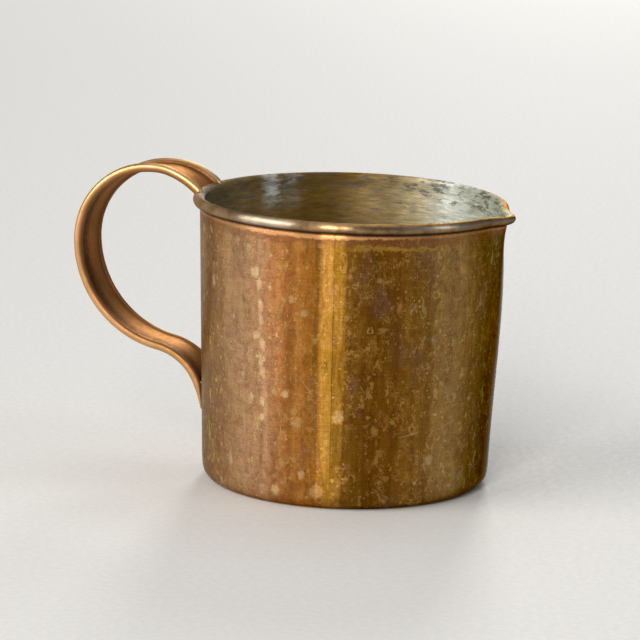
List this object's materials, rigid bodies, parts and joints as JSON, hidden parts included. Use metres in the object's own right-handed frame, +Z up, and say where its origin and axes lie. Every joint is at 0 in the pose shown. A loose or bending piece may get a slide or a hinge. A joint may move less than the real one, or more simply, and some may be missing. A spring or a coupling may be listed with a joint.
{
  "type": "copper mug",
  "caption": "Straight-sided open copper mug with a rolled rim, a small pinched pouring lip, a tinned inside and a looped strap handle with rolled edges",
  "frame": {"origin": "on the axis of the cup, in the plane it stands on", "axes": "+Z is up, along the cup's axis; +X points to the pouring lip and -X to the handle; +Y is to the left of someone who holds the handle and looks along +X"},
  "size_m": [0.1655, 0.1168, 0.115],
  "materials": {
    "body_copper": "old copper, brown and golden patina, stained and spotted, still half polished",
    "handle_copper": "warm orange copper, rubbed smooth by use",
    "tin": "wiped tin, greyed and streaked",
    "wire": "plain drawn wire, closed in",
    "solder": "soft solder, browned like the copper round it"
  },
  "bodies": {
    "root": {"body": "body_copper", "tin_lining": "tin", "rim_wire": "wire", "handle_strap": "handle_copper", "left_edge_wire": "wire", "right_edge_wire": "wire", "upper_solder": "solder", "lower_solder": "solder"}
  },
  "joints": []
}
